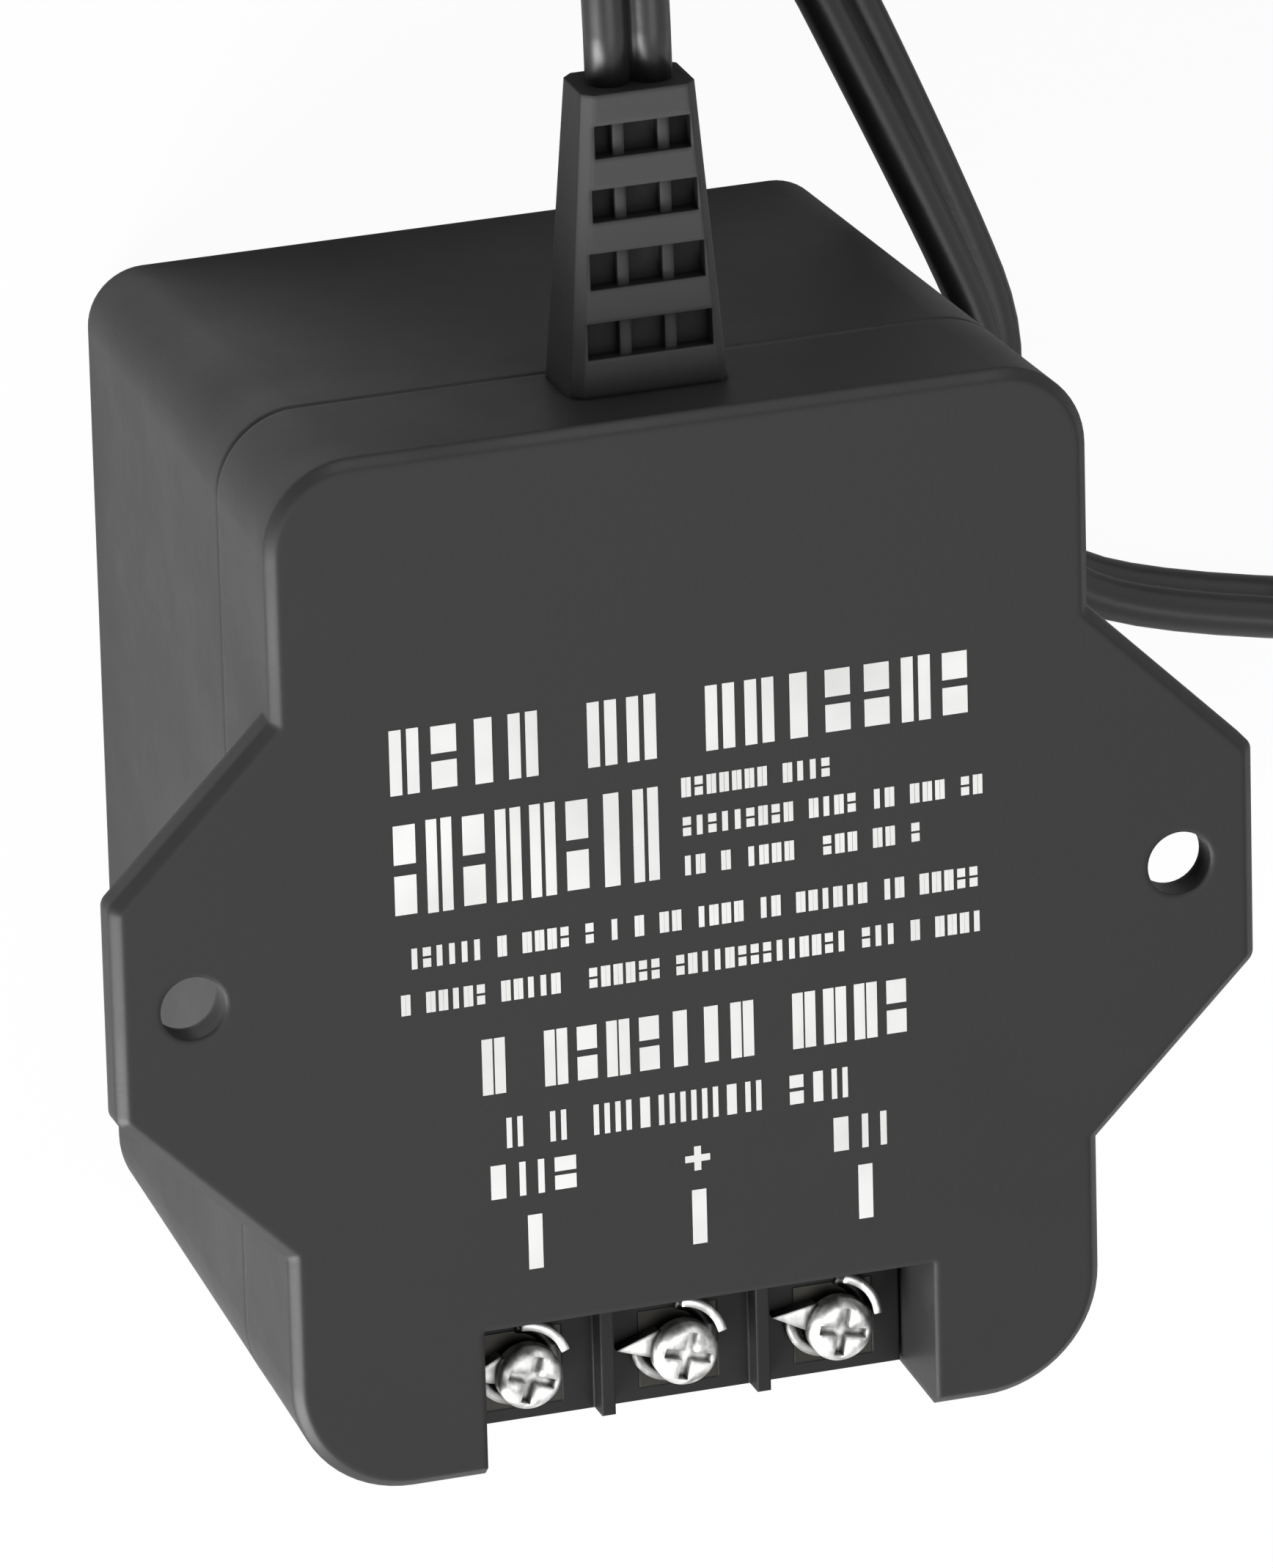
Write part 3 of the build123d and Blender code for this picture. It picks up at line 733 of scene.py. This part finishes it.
    def centre_line(self, points: Sequence[RoutePoint]) -> list[Vector]:
        """Reads the points of the cord's NURBS line.

        Args:
            points: Control points of the line.

        Returns:
            Points along the line, in metres.
        """
        curve = bpy.data.curves.new("cord_line", "CURVE")
        curve.dimensions = "3D"
        curve.resolution_u = self.line_steps
        spline = curve.splines.new("NURBS")
        spline.points.add(len(points) - 1)
        for target, point in zip(spline.points, points):
            target.co = (point.x * MM, point.y * MM, point.z * MM, 1.0)
        spline.order_u = 3
        spline.use_endpoint_u = True
        holder = put_in_scene("cord_line", curve)
        bpy.context.view_layer.update()
        mesh = bpy.data.meshes.new_from_object(holder)
        line = [vertex.co.copy() for vertex in mesh.vertices]
        bpy.data.objects.remove(holder)
        bpy.data.curves.remove(curve)
        bpy.data.meshes.remove(mesh)
        return line

    def section(self) -> list[tuple[float, float]]:
        """Outline of the cord's section: two round lobes with a groove between them.

        Returns:
            Corners, as distances through the cord's thickness and along its width.
        """
        meet = math.sqrt(self.lobe_radius**2 - self.lobe_offset**2)
        reach = math.atan2(meet, -self.lobe_offset)
        outline = []
        for side in (1, -1):
            for i in range(self.section_points):
                angle = -reach + 2 * reach * i / (self.section_points - 1)
                along = self.lobe_offset + self.lobe_radius * math.cos(angle)
                across = self.lobe_radius * math.sin(angle)
                outline.append((side * across, side * along))
        return outline

    def roll_at(self, points: Sequence[RoutePoint], share: float) -> float:
        """Roll in radians at a share of the line's parameter."""
        index = min(len(points) - 1.0, max(0.0, share * (len(points) - 2) + 0.5))
        low = min(int(index), len(points) - 2)
        mix = index - low
        return math.radians(points[low].roll * (1 - mix) + points[low + 1].roll * mix)

    def tube(self, line: Sequence[Vector], points: Sequence[RoutePoint]) -> Piece:
        """Sweeps the section along the line, rolled as the control points say.

        Args:
            line: Points along the cord's middle, in metres.
            points: Control points, for their roll.

        Returns:
            The cord as one closed mesh.
        """
        outline = self.section()
        count = len(outline)
        vertices: list[Vector] = []
        faces: list[tuple[int, ...]] = []
        for i, centre in enumerate(line):
            ahead = line[min(i + 1, len(line) - 1)] - line[max(i - 1, 0)]
            ahead.normalize()
            right = ahead.cross(Vector((0, 0, 1))).normalized()
            rise = right.cross(ahead)
            roll = self.roll_at(points, i / (len(line) - 1))
            wide = rise * math.cos(roll) + right * math.sin(roll)
            thin = ahead.cross(wide)
            stand = (self.lobe_radius + self.lobe_offset * abs(wide.z)) * MM
            on_floor = centre.z < self.width * MM * self.floor_reach
            drop = max(0.0, centre.z - stand) if on_floor else 0.0
            middle = centre - Vector((0, 0, drop))
            for across, along in outline:
                vertices.append(middle + thin * across * MM + wide * along * MM)
            if i:
                a, b = (i - 1) * count, i * count
                for j in range(count):
                    k = (j + 1) % count
                    faces.append((a + j, a + k, b + k, b + j))
        faces.append(tuple(reversed(range(count))))
        faces.append(tuple(range(len(vertices) - count, len(vertices))))
        made = mesh_piece("mains_cord", vertices, faces)
        made.data.validate()
        for face in made.data.polygons:
            face.use_smooth = len(face.vertices) == 4
        return made

    def build(self) -> None:
        points = self.lead() + self.coil() + self.tail()
        line = self.centre_line(points)
        length = sum((b - a).length for a, b in zip(line, line[1:])) / MM
        LOG.info("cord: %d control points, %.0f mm on its line", len(points), length)
        made = self.tube(line, points)
        self.shop.dress(made, Finishes.cord_pvc.value)
        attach(made, "root")
        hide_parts("cord_lead", "cord_coil", "cord_tail")
        tuple(v * MM for v in self.exit_point)
        [tuple(p) for p in line]


# Terminal clamps


@dataclass
class WireClamps:
    """The loose clamp under each terminal screw: an open ring, a pointed wing, a turned-up lip."""

    shop: PaintShop
    # Millimetres and degrees of one clamp, by the inputs of its tree
    sizes: tuple[tuple[str, float], ...] = (
        ("Ring Radius", 2.95), ("Ring Width", 1.1), ("Ring Thickness", 0.45),
        ("Wing Radius", 2.3), ("Wing Shift", 2.5), ("Wing Height", 1.3),
        ("Lip Radius", 3.65), ("Lip Thickness", 0.7), ("Lip Height", 2.2),
    )
    angles: tuple[tuple[str, float], ...] = (
        ("Ring Start", 186.0), ("Ring Sweep", 256.0), ("Lip Start", 12.0), ("Lip Sweep", 72.0),
    )
    steps: tuple[tuple[str, int], ...] = (("Ring", 36), ("Lip", 16))
    # Turns a triangle to a flat arrow that points left
    wing_squeeze: Point = (-1.0, -0.6, 1.0)
    # How far the loose clamps lie off their screws, and the turn of each
    slack: tuple[float, float] = (-0.6, 0.75)
    turns: Point = (6.0, 0.0, -9.0)

    def tree(self) -> Tree:
        """Node tree of one clamp.

        Returns:
            The tree, with its sizes, angles, turn, place and material as named inputs.
        """
        floats = [name for name, _ in self.sizes + self.angles] + ["Turn"]
        tree, given = open_tree(
            "wire_clamp", Float=floats, Vector=("Place",), Material=("Plating",)
        )

        def raised(shape: Socket, x: SocketValue, height: Socket) -> Socket:
            """Moves a shape along X and stands it on the contact."""
            place = vector(tree, x, 0.0, maths(tree, "MULTIPLY", height, 0.5))
            return moved(tree, shape, Translation=place)

        def swept(line: Socket, width: Socket, height: Socket) -> Socket:
            """Sweeps a flat-sided strip along a line in the plane."""
            inputs: Inputs = {"Width": width, "Height": height}
            strip = add_node(tree, "GeometryNodeCurvePrimitiveQuadrilateral", inputs)
            inputs = {"Curve": line, "Profile Curve": strip.outputs["Curve"]}
            inputs["Fill Caps"] = True
            return add_node(tree, "GeometryNodeCurveToMesh", inputs).outputs["Mesh"]

        arcs = {}
        inputs: Inputs
        for name, steps in self.steps:
            inputs = {"Resolution": steps, "Radius": given[f"{name} Radius"]}
            inputs["Start Angle"] = given[f"{name} Start"]
            inputs["Sweep Angle"] = given[f"{name} Sweep"]
            arcs[name] = add_node(tree, "GeometryNodeCurveArc", inputs).outputs["Curve"]
        ring = swept(arcs["Ring"], given["Ring Width"], given["Ring Thickness"])
        lip = swept(arcs["Lip"], given["Lip Thickness"], given["Lip Height"])
        inputs = {"Vertices": 3, "Radius": given["Wing Radius"], "Depth": given["Wing Height"]}
        triangle = add_node(tree, "GeometryNodeMeshCylinder", inputs)
        wing = moved(tree, triangle.outputs["Mesh"], Scale=self.wing_squeeze)
        left = maths(tree, "MULTIPLY", given["Wing Shift"], -1.0)
        shapes = (
            raised(ring, 0.0, given["Ring Thickness"]),
            raised(lip, 0.0, given["Lip Height"]),
            raised(wing, left, given["Wing Height"]),
        )
        inputs = {"Euler": vector(tree, 0.0, 0.0, given["Turn"])}
        turn = add_node(tree, "FunctionNodeEulerToRotation", inputs).outputs["Rotation"]
        placed = moved(tree, join(tree, shapes), Translation=given["Place"], Rotation=turn)
        close_tree(tree, placed, given["Plating"])
        return tree

    def build(self) -> None:
        """Makes the clamps and puts them in place of their CAD solids."""
        tree = self.tree()
        values: dict[str, Any] = {name: size * MM for name, size in self.sizes}
        values.update({name: math.radians(angle) for name, angle in self.angles})
        values["Plating"] = self.shop.material(CLAMP_PLATING)
        for index, turn in enumerate(self.turns):
            node = f"wire_clamp_{index + 1}"
            low, high = (Vector(corner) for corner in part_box(node))
            middle = (low + high) / 2
            x, y = middle.x + self.slack[0] * MM, middle.y + self.slack[1] * MM
            values["Place"] = (x, y, low.z)
            values["Turn"] = math.radians(turn)
            made = run_tree(tree, f"clamp_{index + 1}", values)
            self.shop.dress(made, CLAMP_PLATING)
            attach(made, "root")
            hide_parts(node)
            LOG.info("%s: %d faces", made.name, len(made.data.polygons))


# Print on the front plate


@dataclass(frozen=True)
class PrintRow:
    """One row of plain printed bars and blocks, in millimetres on the plate.

    The pitch is the distance from one place to the next, and the gap share says how many of
    the places stay empty.
    """

    left: float
    right: float
    bottom: float
    height: float
    stroke: float
    pitch: float
    gap_share: float
    seed: int


@dataclass
class FacePrint:
    """Printed rows of plain bars and blocks, a bar over each terminal and a plus mark."""

    shop: PaintShop
    plate_z: float = 55.5
    film: float = 0.03
    # Share of a place's pitch that its shape fills
    filled: float = 0.74
    # Width of the wide bar and of the two stacked blocks, as shares of the shape's width
    solid_wide: float = 0.6
    stacked_wide: float = 0.86
    # Height of each stacked block and its distance from the middle, as shares of the row's height
    stacked_high: float = 0.42
    stacked_rise: float = 0.27
    rows: tuple[PrintRow, ...] = (
        PrintRow(-24.0, 23.6, 14.9, 5.3, 0.95, 3.15, 0.24, 3),
        PrintRow(-24.0, -1.6, 5.0, 7.6, 0.85, 2.75, 0.0, 5),
        PrintRow(-0.6, 12.0, 11.4, 1.6, 0.36, 1.02, 0.2, 8),
        PrintRow(-0.6, 24.2, 8.2, 1.6, 0.36, 1.02, 0.2, 12),
        PrintRow(-0.6, 20.8, 5.0, 1.6, 0.36, 1.02, 0.2, 14),
        PrintRow(-22.6, 23.8, 0.6, 1.7, 0.36, 1.0, 0.18, 21),
        PrintRow(-23.4, 24.2, -3.1, 1.7, 0.36, 1.0, 0.18, 22),
        PrintRow(-17.3, 17.8, -10.6, 4.6, 0.85, 2.5, 0.12, 34),
        PrintRow(-15.4, 13.8, -15.2, 2.5, 0.42, 1.75, 0.2, 41),
        PrintRow(-17.3, -8.4, -19.3, 2.8, 0.5, 2.7, 0.0, 44),
        PrintRow(10.4, 17.2, -19.6, 2.8, 0.5, 2.7, 0.0, 46),
    )
    bars: Point = (-13.1, 0.15, 13.65)
    bar_low: float = -25.5
    bar_high: float = -21.0
    bar_width: float = 1.15
    plus_center: tuple[float, float] = (0.1, -18.4)
    plus_size: float = 2.0
    plus_stroke: float = 0.55

    def shapes(self, tree: Tree, given: Any) -> list[Socket]:
        """The shapes that a place picks from, in the order that random picks count them in.

        Returns:
            Two thin bars, one wide bar, two stacked blocks, and the two thin bars once more.
        """

        def share(size: Socket, part: float) -> Socket:
            """A part of a size."""
            return maths(tree, "MULTIPLY", size, part)

        def block(wide: Socket, high: Socket, x: SocketValue, y: SocketValue) -> Socket:
            """A flat block with its middle at x, y."""
            size = vector(tree, wide, high, given["Film"])
            cube = add_node(tree, "GeometryNodeMeshCube", {"Size": size})
            return moved(tree, cube.outputs["Mesh"], Translation=vector(tree, x, y, 0.0))

        height, stroke = given["Height"], given["Stroke"]
        width = share(given["Pitch"], self.filled)
        side = maths(tree, "SUBTRACT", share(width, 0.5), share(stroke, 0.5))
        bars = [block(stroke, height, x, 0.0) for x in (share(side, -1.0), side)]
        solid = [block(share(width, self.solid_wide), height, 0.0, 0.0)]
        rise = share(height, self.stacked_rise)
        wide, high = share(width, self.stacked_wide), share(height, self.stacked_high)
        stacked = [block(wide, high, 0.0, y) for y in (rise, share(rise, -1.0))]
        return [join(tree, strokes) for strokes in (bars, solid, stacked, bars)]

    def places(self, tree: Tree, given: Any) -> Socket:
        """Points along the row, one at the middle of each place that isn't left empty."""
        corner = vector(tree, given["Left"], given["Bottom"], given["Surface"])
        halves = [maths(tree, "MULTIPLY", given[n], 0.5) for n in ("Pitch", "Height", "Film")]
        start = add_node(
            tree, "ShaderNodeVectorMath", {0: corner, 1: vector(tree, *halves)}, operation="ADD"
        )
        inputs: Inputs = {"Count": given["Places"], "Start Location": start.outputs["Vector"]}
        inputs["Offset"] = vector(tree, given["Pitch"], 0.0, 0.0)
        line = add_node(tree, "GeometryNodeMeshLine", inputs, mode="OFFSET").outputs["Mesh"]
        chance = add_node(
            tree,
            "FunctionNodeRandomValue",
            {"Seed": given["Seed"], "Probability": given["Gap Share"]},
            data_type="BOOLEAN",
        )
        left_out = typed(chance.outputs, "Value", "BOOLEAN")
        inputs = {"Geometry": line, "Selection": left_out}
        kept = add_node(tree, "GeometryNodeDeleteGeometry", inputs, domain="POINT")
        return kept.outputs["Geometry"]

    def row_tree(self) -> Tree:
        """Node tree of one row: a line of places, with bars or blocks at those that are kept.

        Returns:
            The tree, with its sizes, seed and material as named inputs.
        """
        tree, given = open_tree(
            "print_row",
            Float=("Left", "Bottom", "Surface", "Pitch", "Height", "Stroke", "Film", "Gap Share"),
            Int=("Places", "Seed"),
            Material=("Ink",),
        )
        shapes = self.shapes(tree, given)
        listed = add_node(tree, "GeometryNodeGeometryToInstance")
        for shape in reversed(shapes):
            tree.links.new(shape, listed.inputs["Geometry"])
        pick = add_node(tree, "FunctionNodeRandomValue", {"Seed": given["Seed"]}, data_type="INT")
        typed(pick.inputs, "Min", "INT").default_value = 0
        typed(pick.inputs, "Max", "INT").default_value = len(shapes) - 1
        placed = add_node(
            tree,
            "GeometryNodeInstanceOnPoints",
            {
                "Points": self.places(tree, given),
                "Instance": listed.outputs["Instances"],
                "Pick Instance": True,
                "Instance Index": typed(pick.outputs, "Value", "INT"),
            },
        )
        close_tree(tree, placed.outputs["Instances"], given["Ink"])
        return tree

    def row_piece(self, tree: Tree, row: PrintRow, index: int) -> Piece:
        """Runs the tree for one row, and keeps its result as a plain mesh."""
        values: dict[str, Any] = {
            "Left": row.left * MM,
            "Bottom": row.bottom * MM,
            "Surface": self.plate_z * MM,
            "Places": max(1, int((row.right - row.left) / row.pitch)),
            "Pitch": row.pitch * MM,
            "Height": row.height * MM,
            "Stroke": row.stroke * MM,
            "Film": self.film * MM,
            "Gap Share": row.gap_share,
            "Seed": row.seed,
            "Ink": self.shop.material(PRINT_INK),
        }
        return run_tree(tree, f"print_row_{index}", values)

    def corners(self, left: float, right: float, low: float, high: float) -> list[Vector]:
        """Corners of one flat printed block, in metres, the lower four first."""
        outline = ((left, low), (right, low), (right, high), (left, high))
        heights = (self.plate_z, self.plate_z + self.film)
        return [Vector((x * MM, y * MM, z * MM)) for z in heights for x, y in outline]

    def marks(self) -> Piece:
        """The bar over each terminal and the plus mark, as one mesh."""
        half = self.bar_width / 2
        blocks = [self.corners(x - half, x + half, self.bar_low, self.bar_high) for x in self.bars]
        x, y = self.plus_center
        arm, stroke = self.plus_size / 2, self.plus_stroke / 2
        blocks.append(self.corners(x - arm, x + arm, y - stroke, y + stroke))
        blocks.append(self.corners(x - stroke, x + stroke, y + stroke, y + arm))
        blocks.append(self.corners(x - stroke, x + stroke, y - arm, y - stroke))
        vertices: list[Vector] = []
        faces: list[tuple[int, ...]] = []
        for block in blocks:
            s = len(vertices)
            vertices += block
            faces += [(s + 3, s + 2, s + 1, s), (s + 4, s + 5, s + 6, s + 7)]
            faces += [(s + i, s + (i + 1) % 4, s + 4 + (i + 1) % 4, s + 4 + i) for i in range(4)]
        return mesh_piece("terminal_marks", vertices, faces)

    def build(self) -> None:
        """Makes every row and the marks, and fixes them to the unit."""
        tree = self.row_tree()
        pieces = [self.row_piece(tree, row, i + 1) for i, row in enumerate(self.rows)]
        pieces.append(self.marks())
        for piece in pieces:
            self.shop.dress(piece, PRINT_INK)
            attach(piece, "root")
            LOG.info("print: %s, %d faces", piece.name, len(piece.data.polygons))


# Studio


@dataclass
class Viewpoint:
    """Where the camera stands, in millimetres and degrees from the unit's own axes."""

    target: Point = (-4.0, 13.0, 55.4)
    distance: float = 1300.0
    yaw: float = 17.93
    pitch: float = 21.45
    roll: float = -1.51
    lens: float = 484.2
    sensor: float = 36.0
    clip: tuple[float, float] = (50.0, 50000.0)

    def build(self) -> None:
        """Makes the camera and gives it to the scene."""
        yaw, pitch, roll = (math.radians(v) for v in (self.yaw, self.pitch, self.roll))
        level = math.cos(pitch)
        back = Vector((-math.sin(yaw) * level, math.sin(pitch), math.cos(yaw) * level))
        across = Vector((0, 1, 0)).cross(back).normalized()
        rise = back.cross(across)
        right = across * math.cos(roll) + rise * math.sin(roll)
        up = rise * math.cos(roll) - across * math.sin(roll)
        place = (Vector(self.target) + back * self.distance) * MM
        data = bpy.data.cameras.new("photo_camera")
        data.sensor_fit = "HORIZONTAL"
        data.sensor_width = self.sensor
        data.lens = self.lens
        data.clip_start, data.clip_end = (v * MM for v in self.clip)
        camera = put_in_scene("photo_camera", data)
        turn = Matrix((right, up, back)).transposed().to_4x4()
        camera.matrix_world = Matrix.Translation(place) @ turn
        bpy.context.scene.camera = camera


@dataclass(frozen=True)
class Lamp:
    """A soft square lamp: where it stands and its side, in millimetres, and its watts."""

    name: str
    place: Point
    size: float
    power: float


@dataclass
class Studio:
    """White sweep, a plain soft sky and three soft lamps, the main one low on the left."""

    floor_half: float = 3000.0
    floor_white: float = 0.82
    sky_strength: float = 0.14
    # How white the floor is to the camera, and in gloss or through glass
    white_seen: float = 0.96
    white_mirrored: float = 0.1
    aim: Point = (0.0, 10.0, 30.0)
    lamps: tuple[Lamp, ...] = (
        Lamp("left_softbox", (-860.0, -700.0, 400.0), size=800.0, power=38.0),
        Lamp("top_softbox", (150.0, -200.0, 1300.0), size=700.0, power=4.0),
        Lamp("rim_softbox", (150.0, 1030.0, 440.0), size=400.0, power=3.4),
    )

    def seen(self, tree: Tree, direct: float, mirrored: float) -> Socket:
        """A value for rays from the camera, one for rays off gloss or through glass, else 0.

        Args:
            tree: Shader tree that gets the nodes.
            direct: Value for what the camera sees directly.
            mirrored: Value for what it sees in gloss or through glass.

        Returns:
            The value.
        """
        ray = add_node(tree, "ShaderNodeLightPath").outputs
        either = maths(tree, "MAXIMUM", ray["Is Glossy Ray"], ray["Is Transmission Ray"])
        off_gloss = maths(tree, "MULTIPLY", either, mirrored)
        straight = maths(tree, "MULTIPLY", ray["Is Camera Ray"], direct)
        return maths(tree, "MAXIMUM", straight, off_gloss)

    def floor(self) -> None:
        """Pale floor that shows white and throws light back at the unit."""
        half = self.floor_half * MM
        corners = [(-half, -half, 0.0), (half, -half, 0.0), (half, half, 0.0), (-half, half, 0.0)]
        made = mesh_piece("studio_floor", corners, [(0, 1, 2, 3)])
        paper = bpy.data.materials.new("white_paper_sweep")
        tree = emptied_tree(paper)
        white = (self.floor_white, self.floor_white, self.floor_white, 1.0)
        matt = add_node(tree, "ShaderNodeBsdfDiffuse", {"Color": white, "Roughness": 0.5})
        glow = add_node(tree, "ShaderNodeEmission", {"Color": WHITE, "Strength": 1.0})
        share = self.seen(tree, self.white_seen, self.white_mirrored)
        inputs: Inputs = {0: share, 1: matt.outputs["BSDF"], 2: glow.outputs["Emission"]}
        mixed = add_node(tree, "ShaderNodeMixShader", inputs)
        add_node(tree, "ShaderNodeOutputMaterial", {"Surface": mixed.outputs["Shader"]})
        made.data.materials.append(paper)

    def sky(self) -> None:
        """World that lights softly and shows white behind the unit."""
        world = bpy.data.worlds.new("studio_sky")
        bpy.context.scene.world = world
        tree = emptied_tree(world)
        shown = self.seen(tree, 1.0, 1.0)
        strength = remap(tree, shown, (0.0, 1.0), (self.sky_strength, 1.0))
        glow = add_node(tree, "ShaderNodeBackground", {"Color": WHITE, "Strength": strength})
        add_node(tree, "ShaderNodeOutputWorld", {"Surface": glow.outputs["Background"]})

    def light(self, lamp: Lamp) -> None:
        """Adds one lamp that points at the unit."""
        data = bpy.data.lights.new(lamp.name, "AREA")
        data.energy = lamp.power
        data.size = lamp.size * MM
        made = put_in_scene(lamp.name, data)
        position = Vector(lamp.place) * MM
        aim = Vector(self.aim) * MM - position
        turn = aim.to_track_quat("-Z", "Y").to_matrix().to_4x4()
        made.matrix_world = Matrix.Translation(position) @ turn

    def build(self) -> None:
        """Sets up floor, sky and lamps."""
        self.floor()
        self.sky()
        for lamp in self.lamps:
            self.light(lamp)
        bpy.context.scene.view_settings.view_transform = "Standard"


def main() -> None:
    """Builds the studio and dresses the unit, in order."""
    logging.basicConfig(level=logging.INFO, format="%(name)s: %(message)s")
    Viewpoint().build()
    Studio().build()
    shop = PaintShop()
    shop.dress_nodes()
    FlatCord(shop).build()
    WireClamps(shop).build()
    FacePrint(shop).build()


if __name__ == "__main__":
    main()
